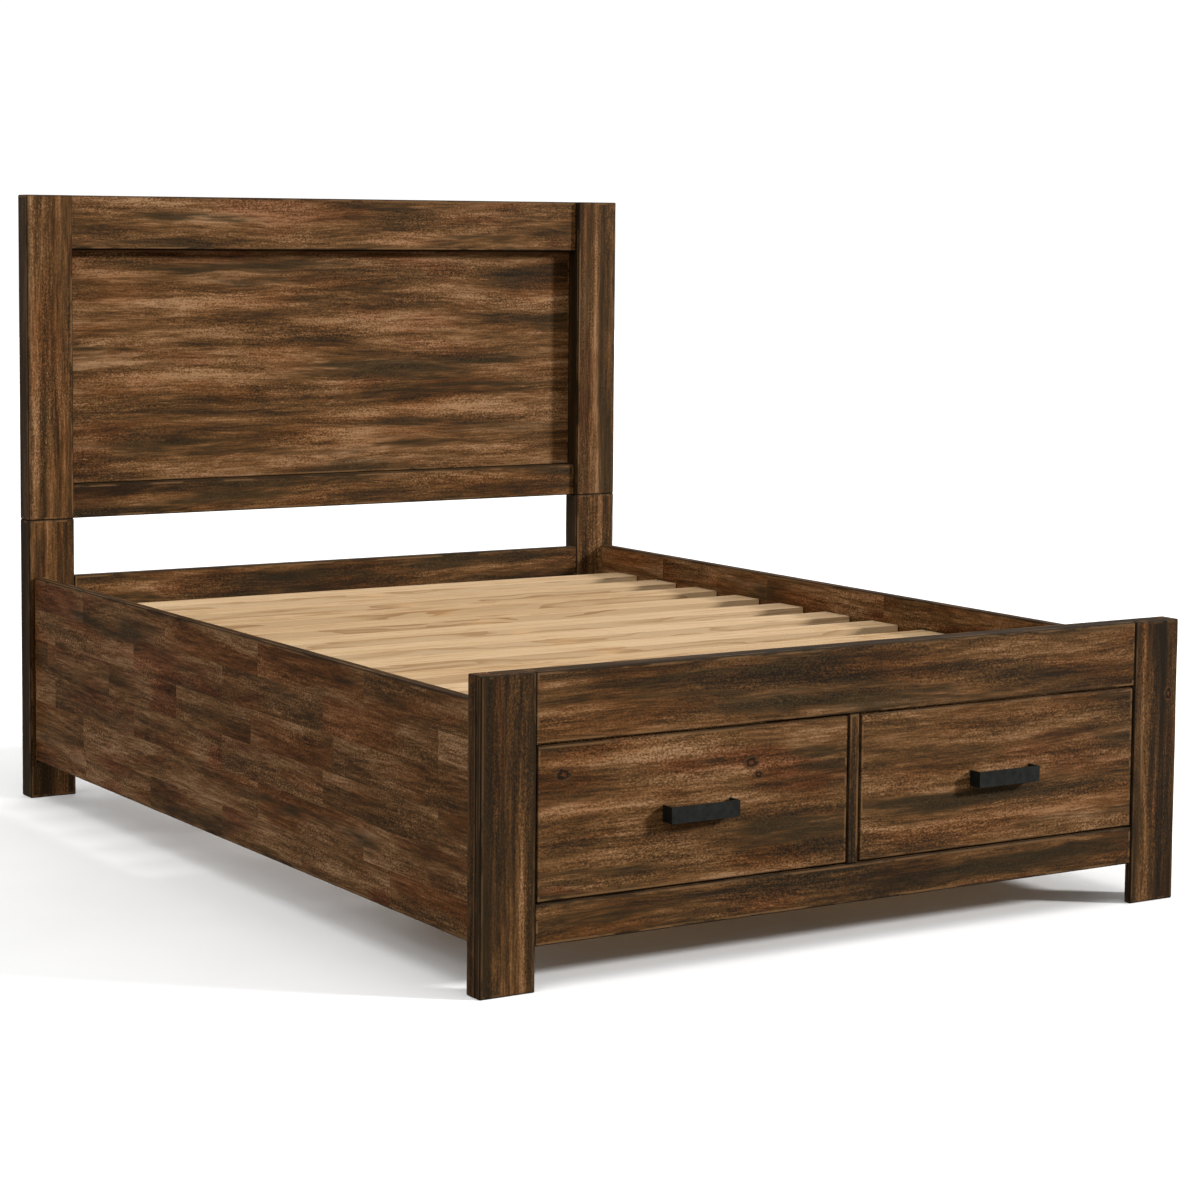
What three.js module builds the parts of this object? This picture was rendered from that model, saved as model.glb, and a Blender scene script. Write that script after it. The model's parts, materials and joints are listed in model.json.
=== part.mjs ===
// Storage bed frame in stained wood, for a 1524 x 2032 mm mattress.
// Millimetres, +Z up. The foot of the bed faces -Y, the headboard +Y and the left side -X.
// The origin is on the floor, under the middle of the whole bed.
import * as THREE from 'three';

// ---------------------------------------------------------------- overall
const BED_WIDTH = 1650;              // across the outer faces of the legs
const BED_LENGTH = 2200;             // front of the foot legs to the back of the headboard
const HEADBOARD_HEIGHT = 1440;
const FOOTBOARD_HEIGHT = 580;

// ---------------------------------------------------------------- legs and posts
const LEG_WIDTH = 115;               // face width of every leg and headboard post
const POST_DEPTH = 56;               // headboard posts and legs, front to back
const FOOT_LEG_DEPTH = 48;
const LEG_FACE_THICKNESS = 18;       // face board of an L-shaped foot leg
const HEAD_LEG_HEIGHT = 668;         // the upper headboard stands on the legs here

// ---------------------------------------------------------------- headboard
const HEAD_TOP_RAIL_HEIGHT = 128;
const HEAD_BOTTOM_RAIL_HEIGHT = 80;
const HEAD_RAIL_SETBACK = 14;        // rails behind the front face of the posts
const HEAD_PANEL_THICKNESS = 12;     // flush with the back of the posts

// ---------------------------------------------------------------- side rails
const SIDE_RAIL_CLEARANCE = 91;      // under the rail
const SIDE_RAIL_THICKNESS = 25;
const SIDE_RAIL_INSET = 13;          // inside the outer face of the legs
const SIDE_RAIL_DROP = 49;           // top of the rail below the top of the footboard

// ---------------------------------------------------------------- footboard
const FLOOR_CLEARANCE = 83;          // under the bottom rail
const FOOT_TOP_RAIL_HEIGHT = 131;
const FOOT_BOTTOM_RAIL_HEIGHT = 76;
const FOOT_BOTTOM_RAIL_BACKING = 18; // part of the bottom rail that laps behind the legs
const FOOT_RAIL_SETBACK = 2;         // rails and drawer fronts behind the face of the legs

// ---------------------------------------------------------------- slats and their supports
const SLAT_COUNT = 11;
const SLAT_WIDTH = 95;
const SLAT_THICKNESS = 18;
const SLAT_END_CLEARANCE = 3;
const LEDGER_WIDTH = 28;
const LEDGER_HEIGHT = 30;
const BEAM_WIDTH = 50;
const BEAM_HEIGHT = 70;
const BEAM_LEG_COUNT = 2;            // evenly spaced along the beam

// ---------------------------------------------------------------- drawer case
const CASE_DEPTH = 600;              // behind the face boards of the foot legs
const CASE_BOARD = 18;
const PARTITION_THICKNESS = 25;

// ---------------------------------------------------------------- drawers
const DRAWER_GAP = 3;                // around each drawer front
const DRAWER_FRONT_THICKNESS = 18;
const DRAWER_REAR_CLEARANCE = 38;    // behind the closed drawer
const DRAWER_BOX_LIFT = 16;          // box above the lower edge of the drawer front
const DRAWER_BOX_DROP = 48;          // box below the upper edge of the drawer front
const DRAWER_BOX_BOARD = 15;
const DRAWER_BOTTOM_THICKNESS = 9;
const DRAWER_BOTTOM_LIFT = 10;       // bottom panel above the lower edge of the box

// ---------------------------------------------------------------- drawer slides
const SLIDE_LIFT = 60;               // centre line above the lower edge of the drawer box
const SLIDE_FRONT_GAP = 6;           // from the drawer front to the slide
const SLIDE_REAR_GAP = 54;           // from the slide to the back of the drawer box
const SLIDE_SPACE = 12.5;            // between the drawer box and the side of its bay
const SLIDE_SHEET = 1.2;             // steel of both channels
const CASE_CHANNEL_HEIGHT = 45;
const CASE_CHANNEL_LIP = 4;
const SLIDE_RUNNING_GAP = 1;         // from a lip to the channel inside it
const SLIDE_SIDE_GAP = 2;            // from the edges of a channel to what they face

// ---------------------------------------------------------------- handles
const HANDLE_WIDTH = 152;
const HANDLE_HEIGHT = 31;
const HANDLE_PROJECTION = 30;
const HANDLE_STRAP = 4;
const HANDLE_DROP = 5;               // below the middle of the drawer front

// ---------------------------------------------------------------- corner brackets
const BRACKET_LENGTH = 80;           // along the side rail
const BRACKET_THICKNESS = 3;
const BRACKET_CASE_GAP = 9;          // from the bracket to the side of the drawer case
const BRACKET_END_GAP = 30;          // above the bottom rail and below the slat ledger

// ---------------------------------------------------------------- levels worked out from the above
const HANDLE_REACH = HANDLE_PROJECTION - FOOT_RAIL_SETBACK;
const FOOT_Y = (HANDLE_REACH - BED_LENGTH) / 2; // front face of the foot legs
const HEAD_Y = FOOT_Y + BED_LENGTH;             // back face of the headboard
const HALF_WIDTH = BED_WIDTH / 2;
const BAY_SIDE_X = HALF_WIDTH - LEG_WIDTH;      // inner edge of the legs, side of a drawer bay
const RAIL_INNER_X = HALF_WIDTH - SIDE_RAIL_INSET - SIDE_RAIL_THICKNESS;
const RAIL_FOOT_Y = FOOT_Y + FOOT_LEG_DEPTH;    // side rails run from here
const RAIL_HEAD_Y = HEAD_Y - POST_DEPTH;        // to here
const SIDE_RAIL_TOP = FOOTBOARD_HEIGHT - SIDE_RAIL_DROP;
const BAY_BOTTOM = FLOOR_CLEARANCE + FOOT_BOTTOM_RAIL_HEIGHT;
const BAY_TOP = FOOTBOARD_HEIGHT - FOOT_TOP_RAIL_HEIGHT; // the slats lie at this height too
const CASE_FRONT_Y = FOOT_Y + LEG_FACE_THICKNESS;
const CASE_BACK_Y = CASE_FRONT_Y + CASE_DEPTH;
const FASCIA_Y = FOOT_Y + FOOT_RAIL_SETBACK;    // front of the rails and drawer fronts

// ---------------------------------------------------------------- materials
const WOOD = { color: 0x5d4431, roughness: 0.55, metalness: 0 };
const SLAT_WOOD = { color: 0xc8a678, roughness: 0.7, metalness: 0 };
const DRAWER_WOOD = { color: 0xb48f62, roughness: 0.6, metalness: 0 };
const BLACK_METAL = { color: 0x151413, roughness: 0.45, metalness: 0.6 };
const ZINC_STEEL = { color: 0xa9abac, roughness: 0.35, metalness: 1 };

// Faces are put on a grid of 1/64 mm, so that two boards that touch share one plane exactly.
function snap(value) {
  return Math.round(value * 64) / 64;
}

function finish(look) {
  return new THREE.MeshStandardMaterial(look);
}

// A square-edged board between two limits along each axis.
function board(name, look, xLimits, yLimits, zLimits) {
  const low = [xLimits[0], yLimits[0], zLimits[0]].map(snap);
  const high = [xLimits[1], yLimits[1], zLimits[1]].map(snap);
  const size = high.map((value, axis) => value - low[axis]);
  const middle = high.map((value, axis) => (value + low[axis]) / 2);
  const mesh = new THREE.Mesh(new THREE.BoxGeometry(...size), finish(look));
  mesh.name = name;
  mesh.position.set(...middle);
  return mesh;
}

// A piece of one plan outline, upright between two heights.
function upright(name, look, outline, zLimits) {
  const shape = new THREE.Shape(outline.map(([x, y]) => new THREE.Vector2(snap(x), snap(y))));
  const [low, high] = zLimits.map(snap);
  const geometry = new THREE.ExtrudeGeometry(shape, { depth: high - low, bevelEnabled: false });
  const mesh = new THREE.Mesh(geometry, finish(look));
  mesh.name = name;
  mesh.position.z = low;
  return mesh;
}

// A bar of one cross-section, whose outline is given as X and Z, along Y between two limits.
function bar(name, look, outline, yLimits) {
  const mesh = upright(name, look, outline, yLimits);
  mesh.rotation.x = Math.PI / 2;
  mesh.position.set(0, snap(yLimits[1]), 0);
  return mesh;
}

// Limits along X of a piece on one side of the bed; side is -1 on the left and 1 on the right.
function onSide(side, inner, outer) {
  return side < 0 ? [-outer, -inner] : [inner, outer];
}

function sideName(side) {
  return side < 0 ? 'left' : 'right';
}

// ---------------------------------------------------------------- headboard
function headboardSide(side) {
  const x = onSide(side, BAY_SIDE_X, HALF_WIDTH);
  const y = [RAIL_HEAD_Y, HEAD_Y];
  return [
    board(`headboard_post_${sideName(side)}`, WOOD, x, y, [HEAD_LEG_HEIGHT, HEADBOARD_HEIGHT]),
    board(`headboard_leg_${sideName(side)}`, WOOD, x, y, [0, HEAD_LEG_HEIGHT]),
  ];
}

function headboard() {
  const group = new THREE.Group();
  const x = [-BAY_SIDE_X, BAY_SIDE_X];
  const railY = [RAIL_HEAD_Y + HEAD_RAIL_SETBACK, HEAD_Y];
  const panelY = [HEAD_Y - HEAD_PANEL_THICKNESS, HEAD_Y];
  const crossY = [RAIL_HEAD_Y, RAIL_HEAD_Y + SIDE_RAIL_THICKNESS];
  const panelBottom = HEAD_LEG_HEIGHT + HEAD_BOTTOM_RAIL_HEIGHT;
  const panelTop = HEADBOARD_HEIGHT - HEAD_TOP_RAIL_HEIGHT;
  group.add(
    ...headboardSide(-1),
    ...headboardSide(1),
    board('headboard_top_rail', WOOD, x, railY, [panelTop, HEADBOARD_HEIGHT]),
    board('headboard_panel', WOOD, x, panelY, [panelBottom, panelTop]),
    board('headboard_bottom_rail', WOOD, x, railY, [HEAD_LEG_HEIGHT, panelBottom]),
    board('head_cross_rail', WOOD, x, crossY, [SIDE_RAIL_CLEARANCE, SIDE_RAIL_TOP]),
  );
  return group;
}

// ---------------------------------------------------------------- footboard
// A foot leg is an L in plan: a face board, with a side board behind its outer edge.
function footLeg(side) {
  const faceX = onSide(side, BAY_SIDE_X, HALF_WIDTH);
  const sideX = onSide(side, RAIL_INNER_X, HALF_WIDTH);
  const z = [0, FOOTBOARD_HEIGHT];
  return [
    board(`foot_leg_face_${sideName(side)}`, WOOD, faceX, [FOOT_Y, CASE_FRONT_Y], z),
    board(`foot_leg_side_${sideName(side)}`, WOOD, sideX, [CASE_FRONT_Y, RAIL_FOOT_Y], z),
  ];
}

// A rail whose front shows between the legs and whose ends lap behind their face boards.
function lappedRail(name, backY, zLimits) {
  const outline = [
    [-BAY_SIDE_X, FASCIA_Y],
    [BAY_SIDE_X, FASCIA_Y],
    [BAY_SIDE_X, CASE_FRONT_Y],
    [RAIL_INNER_X, CASE_FRONT_Y],
    [RAIL_INNER_X, backY],
    [-RAIL_INNER_X, backY],
    [-RAIL_INNER_X, CASE_FRONT_Y],
    [-BAY_SIDE_X, CASE_FRONT_Y],
  ];
  return upright(name, WOOD, outline, zLimits);
}

function footboard() {
  const group = new THREE.Group();
  const bottomRailBack = CASE_FRONT_Y + FOOT_BOTTOM_RAIL_BACKING;
  group.add(
    ...footLeg(-1),
    ...footLeg(1),
    lappedRail('foot_top_rail', RAIL_FOOT_Y, [BAY_TOP, FOOTBOARD_HEIGHT]),
    lappedRail('foot_bottom_rail', bottomRailBack, [FLOOR_CLEARANCE, BAY_BOTTOM]),
  );
  return group;
}

// ---------------------------------------------------------------- sides
// An angle in plan, on the inner face of a side rail and on a leg whose face is at cornerY.
function cornerBracket(name, side, cornerY, towards) {
  const x = (distance) => side * (RAIL_INNER_X - distance);
  const y = (distance) => cornerY + towards * distance;
  const width = RAIL_INNER_X - BAY_SIDE_X - CASE_BOARD - BRACKET_CASE_GAP;
  const outline = [
    [x(0), y(0)],
    [x(width), y(0)],
    [x(width), y(BRACKET_THICKNESS)],
    [x(BRACKET_THICKNESS), y(BRACKET_THICKNESS)],
    [x(BRACKET_THICKNESS), y(BRACKET_LENGTH)],
    [x(0), y(BRACKET_LENGTH)],
  ];
  const z = [BAY_BOTTOM + BRACKET_END_GAP, BAY_TOP - LEDGER_HEIGHT - BRACKET_END_GAP];
  return upright(name, ZINC_STEEL, outline, z);
}

function bedSide(side) {
  const group = new THREE.Group();
  const railX = onSide(side, RAIL_INNER_X, RAIL_INNER_X + SIDE_RAIL_THICKNESS);
  const ledgerX = onSide(side, RAIL_INNER_X - LEDGER_WIDTH, RAIL_INNER_X);
  const ledgerY = [CASE_BACK_Y + CASE_BOARD, RAIL_HEAD_Y];
  const railZ = [SIDE_RAIL_CLEARANCE, SIDE_RAIL_TOP];
  const ledgerZ = [BAY_TOP - LEDGER_HEIGHT, BAY_TOP];
  group.add(
    board(`side_rail_${sideName(side)}`, WOOD, railX, [RAIL_FOOT_Y, RAIL_HEAD_Y], railZ),
    board(`slat_ledger_${sideName(side)}`, SLAT_WOOD, ledgerX, ledgerY, ledgerZ),
    cornerBracket(`corner_bracket_foot_${sideName(side)}`, side, CASE_FRONT_Y, 1),
    cornerBracket(`corner_bracket_head_${sideName(side)}`, side, RAIL_HEAD_Y, -1),
  );
  return group;
}

// ---------------------------------------------------------------- slats
function centreBeam() {
  const footY = CASE_BACK_Y + CASE_BOARD;
  const x = [-BEAM_WIDTH / 2, BEAM_WIDTH / 2];
  const underside = BAY_TOP - BEAM_HEIGHT;
  const legSpacing = (RAIL_HEAD_Y - footY) / (BEAM_LEG_COUNT + 1);
  const pieces = [board('centre_beam', SLAT_WOOD, x, [footY, RAIL_HEAD_Y], [underside, BAY_TOP])];
  for (let index = 1; index <= BEAM_LEG_COUNT; index += 1) {
    const middle = footY + index * legSpacing;
    const y = [middle - BEAM_WIDTH / 2, middle + BEAM_WIDTH / 2];
    pieces.push(board(`centre_beam_leg_${index}`, SLAT_WOOD, x, y, [0, underside]));
  }
  return pieces;
}

function slat(index) {
  const gap = (RAIL_HEAD_Y - RAIL_FOOT_Y - SLAT_COUNT * SLAT_WIDTH) / (SLAT_COUNT + 1);
  const start = RAIL_FOOT_Y + gap + index * (SLAT_WIDTH + gap);
  const reach = RAIL_INNER_X - SLAT_END_CLEARANCE;
  const name = `slat_${String(index + 1).padStart(2, '0')}`;
  const z = [BAY_TOP, BAY_TOP + SLAT_THICKNESS];
  return board(name, SLAT_WOOD, [-reach, reach], [start, start + SLAT_WIDTH], z);
}

function slatDeck() {
  const group = new THREE.Group();
  group.add(...centreBeam());
  for (let index = 0; index < SLAT_COUNT; index += 1) {
    group.add(slat(index));
  }
  return group;
}

// ---------------------------------------------------------------- drawer case
// The partition's front edge shows between the drawers; its top carries the slats.
function drawerCase() {
  const group = new THREE.Group();
  const z = [BAY_BOTTOM, BAY_TOP];
  const partitionX = [-PARTITION_THICKNESS / 2, PARTITION_THICKNESS / 2];
  const rearY = [CASE_BACK_Y, CASE_BACK_Y + CASE_BOARD];
  group.add(
    board('centre_partition', WOOD, partitionX, [FASCIA_Y, CASE_BACK_Y], z),
    board('case_rear_rail', DRAWER_WOOD, [-RAIL_INNER_X, RAIL_INNER_X], rearY, z),
  );
  for (const side of [-1, 1]) {
    const x = onSide(side, BAY_SIDE_X, BAY_SIDE_X + CASE_BOARD);
    group.add(board(`case_side_${sideName(side)}`, DRAWER_WOOD, x, [CASE_FRONT_Y, CASE_BACK_Y], z));
  }
  return group;
}

// ---------------------------------------------------------------- drawers
const BAY_WIDTH = BAY_SIDE_X - PARTITION_THICKNESS / 2;
const BAY_MIDDLE_X = (BAY_SIDE_X + PARTITION_THICKNESS / 2) / 2;
const DRAWER_FRONT_BACK_Y = FASCIA_Y + DRAWER_FRONT_THICKNESS;
const DRAWER_BACK_Y = CASE_BACK_Y - DRAWER_REAR_CLEARANCE;
const DRAWER_FRONT_BOTTOM = BAY_BOTTOM + DRAWER_GAP;
const DRAWER_FRONT_TOP = BAY_TOP - DRAWER_GAP;
const BOX_BOTTOM = DRAWER_FRONT_BOTTOM + DRAWER_BOX_LIFT;
const BOX_TOP = DRAWER_FRONT_TOP - DRAWER_BOX_DROP;
const BOX_HALF_WIDTH = BAY_WIDTH / 2 - SLIDE_SPACE;

// A flat strap bent to a U in plan, with its two ends on the drawer front.
function handle(name) {
  const half = HANDLE_WIDTH / 2;
  const inner = half - HANDLE_STRAP;
  const front = FASCIA_Y - HANDLE_PROJECTION;
  const outline = [
    [-half, front],
    [half, front],
    [half, FASCIA_Y],
    [inner, FASCIA_Y],
    [inner, front + HANDLE_STRAP],
    [-inner, front + HANDLE_STRAP],
    [-inner, FASCIA_Y],
    [-half, FASCIA_Y],
  ];
  const middle = (DRAWER_FRONT_BOTTOM + DRAWER_FRONT_TOP) / 2 - HANDLE_DROP;
  const z = [middle - HANDLE_HEIGHT / 2, middle + HANDLE_HEIGHT / 2];
  return upright(name, BLACK_METAL, outline, z);
}

// Cross-section of a slide channel that is open towards +X, with its web on X = 0. The edges of its
// flanges are turned in by the lip, which may be 0.
function channelOutline(depth, height, lip) {
  const half = height / 2;
  const inner = half - SLIDE_SHEET;
  const upper = [
    [depth, half],
    [0, half],
  ];
  const upperEdge = [
    [SLIDE_SHEET, inner],
    [depth - SLIDE_SHEET, inner],
    [depth - SLIDE_SHEET, half - lip],
    [depth, half - lip],
  ];
  const plainEdge = [
    [SLIDE_SHEET, inner],
    [depth, inner],
  ];
  const top = [...(lip > 0 ? upperEdge : plainEdge), ...upper];
  const bottom = top.map(([x, z]) => [x, -z]).reverse();
  return [...top, ...bottom];
}

// The channel on the case is open towards the drawer; the one on the drawer sits inside it, open
// towards the case. Both are made for the bay side at bayEdge, in the direction of hand.
function slide(label, hand) {
  const bayEdge = BAY_WIDTH / 2;
  const middleZ = BOX_BOTTOM + SLIDE_LIFT;
  const y = [DRAWER_FRONT_BACK_Y + SLIDE_FRONT_GAP, DRAWER_BACK_Y - SLIDE_REAR_GAP];
  const innerHeight = CASE_CHANNEL_HEIGHT - 2 * (CASE_CHANNEL_LIP + SLIDE_RUNNING_GAP);
  const outer = channelOutline(SLIDE_SPACE - SLIDE_SIDE_GAP, CASE_CHANNEL_HEIGHT, CASE_CHANNEL_LIP);
  const inner = channelOutline(SLIDE_SPACE - SLIDE_SHEET - SLIDE_SIDE_GAP, innerHeight, 0);
  const onCase = outer.map(([x, z]) => [hand * (bayEdge - x), middleZ + z]);
  const onDrawer = inner.map(([x, z]) => [hand * (BOX_HALF_WIDTH + x), middleZ + z]);
  return [
    bar(`case_runner_${label}`, ZINC_STEEL, onCase, y),
    bar(`drawer_runner_${label}`, ZINC_STEEL, onDrawer, y),
  ];
}

// One side of the drawer box and the slide beside it, left (-1) or right (1) in its bay.
// The outer one is nearer to the side rail, the inner one to the partition.
function drawerSide(side, hand) {
  const label = `${sideName(side)}_${hand === side ? 'outer' : 'inner'}`;
  const x = onSide(hand, BOX_HALF_WIDTH - DRAWER_BOX_BOARD, BOX_HALF_WIDTH);
  const y = [DRAWER_FRONT_BACK_Y, DRAWER_BACK_Y];
  return [board(`drawer_side_${label}`, DRAWER_WOOD, x, y, [BOX_BOTTOM, BOX_TOP]), ...slide(label, hand)];
}

// A drawer and its slides, made about the middle of its bay.
function drawer(side) {
  const group = new THREE.Group();
  const name = sideName(side);
  const frontHalf = BAY_WIDTH / 2 - DRAWER_GAP;
  const insideHalf = BOX_HALF_WIDTH - DRAWER_BOX_BOARD;
  const insideX = [-insideHalf, insideHalf];
  const panelBottom = BOX_BOTTOM + DRAWER_BOTTOM_LIFT;
  const panelTop = panelBottom + DRAWER_BOTTOM_THICKNESS;
  const frontY = [FASCIA_Y, DRAWER_FRONT_BACK_Y];
  const frontZ = [DRAWER_FRONT_BOTTOM, DRAWER_FRONT_TOP];
  const panelY = [DRAWER_FRONT_BACK_Y, DRAWER_BACK_Y];
  const backY = [DRAWER_BACK_Y - DRAWER_BOX_BOARD, DRAWER_BACK_Y];
  group.add(
    board(`drawer_front_${name}`, WOOD, [-frontHalf, frontHalf], frontY, frontZ),
    board(`drawer_bottom_${name}`, DRAWER_WOOD, insideX, panelY, [panelBottom, panelTop]),
    board(`drawer_back_${name}`, DRAWER_WOOD, insideX, backY, [panelTop, BOX_TOP]),
    handle(`drawer_handle_${name}`),
    ...drawerSide(side, side),
    ...drawerSide(side, -side),
  );
  group.position.x = snap(side * BAY_MIDDLE_X);
  return group;
}

const bed = new THREE.Group();
bed.add(headboard(), footboard(), bedSide(-1), bedSide(1), slatDeck(), drawerCase(), drawer(-1), drawer(1));

export default bed;
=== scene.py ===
"""Looks of a wooden storage bed frame: stained boards, pine slats, drawer boxes, steel slides and handles.

Every board is built anew around its CAD node, with eased edges and its own grain. Lengths are in metres,
noise scales in repeats to a metre, angles in degrees, and colours in sRGB from 0 to 255.
"""
import json
import math
import random

import bmesh
import bpy
from mathutils import Matrix, Vector, noise


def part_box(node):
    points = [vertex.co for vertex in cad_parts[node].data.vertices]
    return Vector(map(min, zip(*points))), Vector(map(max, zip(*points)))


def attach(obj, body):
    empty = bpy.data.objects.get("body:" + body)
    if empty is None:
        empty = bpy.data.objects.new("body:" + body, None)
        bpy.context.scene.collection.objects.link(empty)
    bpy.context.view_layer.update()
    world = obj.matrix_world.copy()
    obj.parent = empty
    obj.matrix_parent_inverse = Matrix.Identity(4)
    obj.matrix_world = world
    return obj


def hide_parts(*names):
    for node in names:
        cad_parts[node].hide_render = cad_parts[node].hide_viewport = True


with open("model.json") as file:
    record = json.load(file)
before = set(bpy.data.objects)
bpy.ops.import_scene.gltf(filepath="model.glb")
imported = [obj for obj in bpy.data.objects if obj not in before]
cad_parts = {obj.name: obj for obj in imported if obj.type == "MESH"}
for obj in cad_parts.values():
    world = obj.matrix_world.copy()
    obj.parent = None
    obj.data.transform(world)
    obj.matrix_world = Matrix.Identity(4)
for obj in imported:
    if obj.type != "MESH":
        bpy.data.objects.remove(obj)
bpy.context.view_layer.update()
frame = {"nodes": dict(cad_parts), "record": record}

X, Y, Z = 0, 1, 2
SIDES = ("left", "right")
BODY_OF = {node: body for body, nodes in frame["record"]["behaviour"]["bodies"].items() for node in nodes}
SLOT_OF = {part["node"]: part["material_slot"] for part in frame["record"]["subparts"]}
SLATS = [node for node in sorted(SLOT_OF) if node.startswith(("slat_0", "slat_1"))]
rng = random.Random(41)


# ------------------------------------------------------------------ camera, lights and floor
LENS = 87.8                              # focal length in millimetres
LENS_SHIFT = (0.05, -0.1)
CAMERA_TURN = (-31.28, -4.79, 0.40)      # yaw, pitch and roll
CAMERA_PLACE = (-3.382, -5.489, 1.354)

HORIZON_LIGHT = 0.25                     # strength of the sky at the horizon
ZENITH_LIGHT = 0.55                      # strength of the sky above SKY_FADE
SKY_FADE = 0.8
BACKGROUND = 1.05                        # strength of the white that the camera sees

LIGHTS = (                               # name, direction, width, strength, seen in reflections
    ("key", (0.74, -0.58, 0.40), 8, 3.8, True),
    ("overhead", (-0.1, -0.25, 1), 50, 1.2, True),
    ("fill", (-0.9, -0.2, 0.4), 60, 1.2, False),
    ("back", (0.2, 0.9, 0.4), 60, 1.3, False),
)

FLOOR_REACH = 30
FLOOR_TINTS = [(0.3, (240, 240, 240)), (0.7, (246, 246, 245))]


def look(yaw, pitch, roll, place):
    """Matrix of a camera; yaw turns it from +Y towards -X."""
    yaw, pitch, roll = (math.radians(angle) for angle in (yaw, pitch, roll))
    forward = Vector((-math.sin(yaw) * math.cos(pitch), math.cos(yaw) * math.cos(pitch), math.sin(pitch)))
    right = Vector((math.cos(yaw), math.sin(yaw), 0))
    up = right.cross(forward)
    tilt = Matrix.Rotation(-roll, 4, forward)
    axes = Matrix((right, up, -forward)).transposed().to_4x4()
    return Matrix.Translation(place) @ tilt @ axes


def make_camera():
    data = bpy.data.cameras.new("camera")
    data.lens = LENS
    data.shift_x, data.shift_y = LENS_SHIFT
    camera = bpy.data.objects.new("camera", data)
    camera.matrix_world = look(*CAMERA_TURN, CAMERA_PLACE)
    bpy.context.scene.collection.objects.link(camera)
    bpy.context.scene.camera = camera


def make_sun(name, direction, width, strength, glossy):
    """Light from a far source in that direction."""
    data = bpy.data.lights.new(name, "SUN")
    data.angle = math.radians(width)
    data.energy = strength
    light = bpy.data.objects.new(name, data)
    light.rotation_euler = Vector(direction).to_track_quat("Z", "Y").to_euler()
    light.visible_glossy = glossy
    bpy.context.scene.collection.objects.link(light)


def make_world():
    """White to the camera; as a light, a soft box overhead that fades out towards the horizon."""
    world = bpy.data.worlds.new("studio")
    world.use_nodes = True
    nodes, links = world.node_tree.nodes, world.node_tree.links
    height = nodes.new("ShaderNodeSeparateXYZ")
    links.new(nodes.new("ShaderNodeTexCoord").outputs["Generated"], height.inputs[0])
    sky = nodes.new("ShaderNodeMapRange")
    sky.inputs["From Max"].default_value = SKY_FADE
    sky.inputs["To Min"].default_value = HORIZON_LIGHT
    sky.inputs["To Max"].default_value = ZENITH_LIGHT
    links.new(height.outputs["Z"], sky.inputs["Value"])
    strength = nodes.new("ShaderNodeMapRange")
    strength.inputs["To Max"].default_value = BACKGROUND
    links.new(nodes.new("ShaderNodeLightPath").outputs["Is Camera Ray"], strength.inputs["Value"])
    links.new(sky.outputs[0], strength.inputs["To Min"])
    links.new(strength.outputs[0], nodes["Background"].inputs["Strength"])
    nodes["Background"].inputs["Color"].default_value = (1, 1, 1, 1)
    bpy.context.scene.world = world


def make_lights():
    make_world()
    bpy.context.scene.view_settings.view_transform = "Standard"
    for light in LIGHTS:
        make_sun(*light)


def make_floor():
    corners = [(x * FLOOR_REACH, y * FLOOR_REACH, 0) for x, y in ((-1, -1), (1, -1), (1, 1), (-1, 1))]
    mesh = bpy.data.meshes.new("floor")
    mesh.from_pydata(corners, [], [(0, 1, 2, 3)])
    floor = bpy.data.objects.new("floor", mesh)
    bpy.context.scene.collection.objects.link(floor)
    shader = Shader("floor")
    shader.put("Base Color", shader.ramp(shader.noise(shader.object_coordinates(), 1.5, 3), FLOOR_TINTS))
    shader.put("Roughness", 0.8)
    mesh.materials.append(shader.material)
    floor.visible_glossy = False
    floor.visible_diffuse = False


# ------------------------------------------------------------------ shader helper
def linear(tint):
    """An sRGB colour as the linear RGBA that sockets hold."""
    scaled = [value / 255 for value in tint]
    return [v / 12.92 if v <= 0.04045 else ((v + 0.055) / 1.055) ** 2.4 for v in scaled] + [1]


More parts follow.
